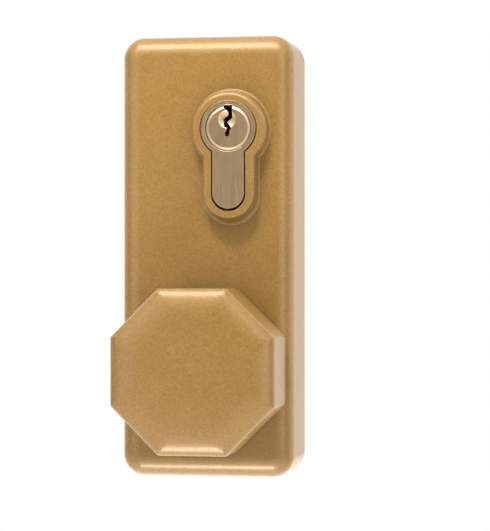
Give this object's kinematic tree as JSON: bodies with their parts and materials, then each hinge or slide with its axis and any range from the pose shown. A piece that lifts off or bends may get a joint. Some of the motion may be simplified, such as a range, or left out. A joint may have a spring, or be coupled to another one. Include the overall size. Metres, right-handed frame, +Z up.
{
  "type": "knob-operated outside access device",
  "caption": "Outside access device for exit hardware: tall metal casing, raised keyhole boss round a euro key cylinder, octagonal turning knob below.",
  "frame": {"origin": "centre of the back plate's rear face, the face that lies against the door", "axes": "+X to the right seen from the front, +Y back towards the door (the knob and key face -Y), +Z up"},
  "size_m": [0.0532, 0.0959, 0.135],
  "materials": {
    "gold_enamel": "metallic gold enamel with a fine sparkle, smooth, semi-gloss",
    "satin_nickel": "satin nickel, brushed vertically",
    "zinc_plate": "bright zinc plated steel",
    "steel": "machined and sintered steel, lightly oiled",
    "spring_steel": "drawn spring wire and strip",
    "brass": "turned brass",
    "bearing_plastic": "moulded black acetal"
  },
  "bodies": {
    "casing": {"casing": "gold_enamel", "back_plate": "zinc_plate", "back_plate_screw_1": "zinc_plate", "back_plate_screw_2": "zinc_plate", "back_plate_screw_3": "zinc_plate", "back_plate_screw_4": "zinc_plate", "fixing_post_upper": "zinc_plate", "fixing_post_lower": "zinc_plate", "cylinder_body": "satin_nickel", "cylinder_fixing_screw": "zinc_plate", "knob_bush": "bearing_plastic", "knob_return_spring": "spring_steel", "guide_pin_upper": "steel", "guide_pin_lower": "steel", "detent_spring": "spring_steel", "detent_screw": "zinc_plate", "chamber_plug_1": "brass", "chamber_plug_2": "brass", "chamber_plug_3": "brass", "chamber_plug_4": "brass", "chamber_plug_5": "brass", "pin_spring_1": "spring_steel", "pin_spring_2": "spring_steel", "pin_spring_3": "spring_steel", "pin_spring_4": "spring_steel", "pin_spring_5": "spring_steel"},
    "knob": {"knob": "gold_enamel", "knob_shaft": "steel", "knob_pin": "spring_steel", "centring_plate": "zinc_plate", "knob_circlip": "spring_steel", "clutch_spring": "spring_steel"},
    "clutch_sleeve": {"clutch_sleeve": "steel"},
    "spindle": {"spindle_follower": "steel", "spindle_bar": "zinc_plate", "spindle_pin": "spring_steel"},
    "lock_slide": {"lock_slide": "zinc_plate"},
    "cylinder_plug": {"cylinder_plug": "satin_nickel", "cylinder_cam": "steel", "plug_clip": "spring_steel"},
    "key_pin_1": {"key_pin_1": "brass"},
    "driver_pin_1": {"driver_pin_1": "brass"},
    "key_pin_2": {"key_pin_2": "brass"},
    "driver_pin_2": {"driver_pin_2": "brass"},
    "key_pin_3": {"key_pin_3": "brass"},
    "driver_pin_3": {"driver_pin_3": "brass"},
    "key_pin_4": {"key_pin_4": "brass"},
    "driver_pin_4": {"driver_pin_4": "brass"},
    "key_pin_5": {"key_pin_5": "brass"},
    "driver_pin_5": {"driver_pin_5": "brass"}
  },
  "joints": [
    {"name": "knob_turn", "type": "hinge", "parent": "casing", "child": "knob", "pos_m": [0, 0, -0.0345], "axis": [0, -1, 0], "range_deg": [-60, 60], "deforming": ["knob_return_spring"]},
    {"name": "clutch_slide", "type": "slide", "parent": "knob", "child": "clutch_sleeve", "axis": [0, -1, 0], "range_m": [0, 0.0024], "deforming": ["clutch_spring"]},
    {"name": "spindle_turn", "type": "hinge", "parent": "casing", "child": "spindle", "pos_m": [0, 0, -0.0345], "axis": [0, -1, 0], "range_deg": [-60, 60]},
    {"name": "key_turn", "type": "hinge", "parent": "casing", "child": "cylinder_plug", "pos_m": [0.00795, 0, 0.0388], "axis": [0, -1, 0], "range_deg": [0, 60]},
    {"name": "lock_slide_travel", "type": "slide", "parent": "casing", "child": "lock_slide", "axis": [0, 0, -1], "range_m": [0, 0.0115], "deforming": ["detent_spring"]},
    {"name": "key_pin_lift_1", "type": "slide", "parent": "cylinder_plug", "child": "key_pin_1", "axis": [0, 0, 1], "range_m": [0, 0.0015]},
    {"name": "key_pin_lift_2", "type": "slide", "parent": "cylinder_plug", "child": "key_pin_2", "axis": [0, 0, 1], "range_m": [0, 0.0015]},
    {"name": "key_pin_lift_3", "type": "slide", "parent": "cylinder_plug", "child": "key_pin_3", "axis": [0, 0, 1], "range_m": [0, 0.0015]},
    {"name": "key_pin_lift_4", "type": "slide", "parent": "cylinder_plug", "child": "key_pin_4", "axis": [0, 0, 1], "range_m": [0, 0.0015]},
    {"name": "key_pin_lift_5", "type": "slide", "parent": "cylinder_plug", "child": "key_pin_5", "axis": [0, 0, 1], "range_m": [0, 0.0015]},
    {"name": "driver_pin_drop_1", "type": "slide", "parent": "casing", "child": "driver_pin_1", "axis": [0, 0, -1], "range_m": [0, 0.0012], "deforming": ["pin_spring_1"]},
    {"name": "driver_pin_drop_2", "type": "slide", "parent": "casing", "child": "driver_pin_2", "axis": [0, 0, -1], "range_m": [0, 0.0012], "deforming": ["pin_spring_2"]},
    {"name": "driver_pin_drop_3", "type": "slide", "parent": "casing", "child": "driver_pin_3", "axis": [0, 0, -1], "range_m": [0, 0.0012], "deforming": ["pin_spring_3"]},
    {"name": "driver_pin_drop_4", "type": "slide", "parent": "casing", "child": "driver_pin_4", "axis": [0, 0, -1], "range_m": [0, 0.0012], "deforming": ["pin_spring_4"]},
    {"name": "driver_pin_drop_5", "type": "slide", "parent": "casing", "child": "driver_pin_5", "axis": [0, 0, -1], "range_m": [0, 0.0012], "deforming": ["pin_spring_5"]}
  ],
  "couplings": [
    {"joint": "spindle_turn", "follows": "knob_turn", "ratio": 1},
    {"joint": "clutch_slide", "follows": "key_turn", "m_per_rad": 0.0022918},
    {"joint": "lock_slide_travel", "follows": "key_turn", "m_per_rad": 0.010982}
  ]
}
